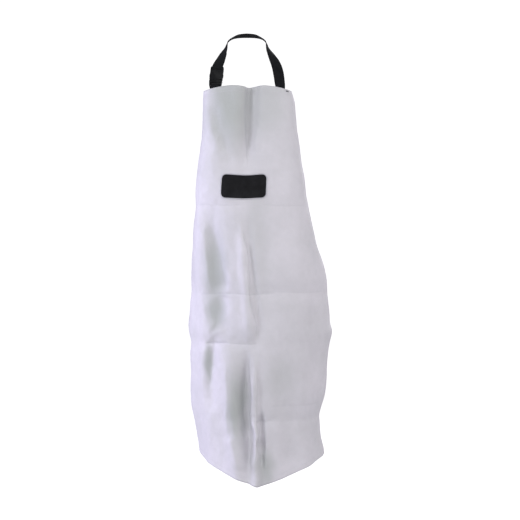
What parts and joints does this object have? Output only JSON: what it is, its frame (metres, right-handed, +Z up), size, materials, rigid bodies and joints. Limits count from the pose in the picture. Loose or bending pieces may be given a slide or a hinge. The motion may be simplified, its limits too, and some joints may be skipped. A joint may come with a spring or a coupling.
{
  "type": "brushcutter apron",
  "caption": "Long protective bib apron of coated cloth, worn round the body, on a black webbing neck strap with a side-release buckle and a webbing waist strap behind",
  "frame": {"origin": "under the neck strap at the nape of the neck, where the apron hangs", "axes": "+Z up along the apron's length, -Y the front of the apron, +X to the right seen from the front"},
  "size_m": [0.397, 0.257, 1.2514],
  "materials": {
    "coated_cloth": "smooth coated cloth, pale grey with a lavender cast, half matt",
    "patch": "black woven patch with a pale edge",
    "webbing": "black ribbed webbing",
    "buckle": "moulded black plastic, satin"
  },
  "bodies": {
    "root": {"apron_panel": "coated_cloth", "chest_patch": "patch", "neck_strap": "webbing", "neck_tab": "webbing", "buckle_socket": "buckle", "buckle_plug": "buckle", "waist_strap_left": "webbing", "waist_strap_right": "webbing", "waist_clasp": "buckle"}
  },
  "joints": []
}
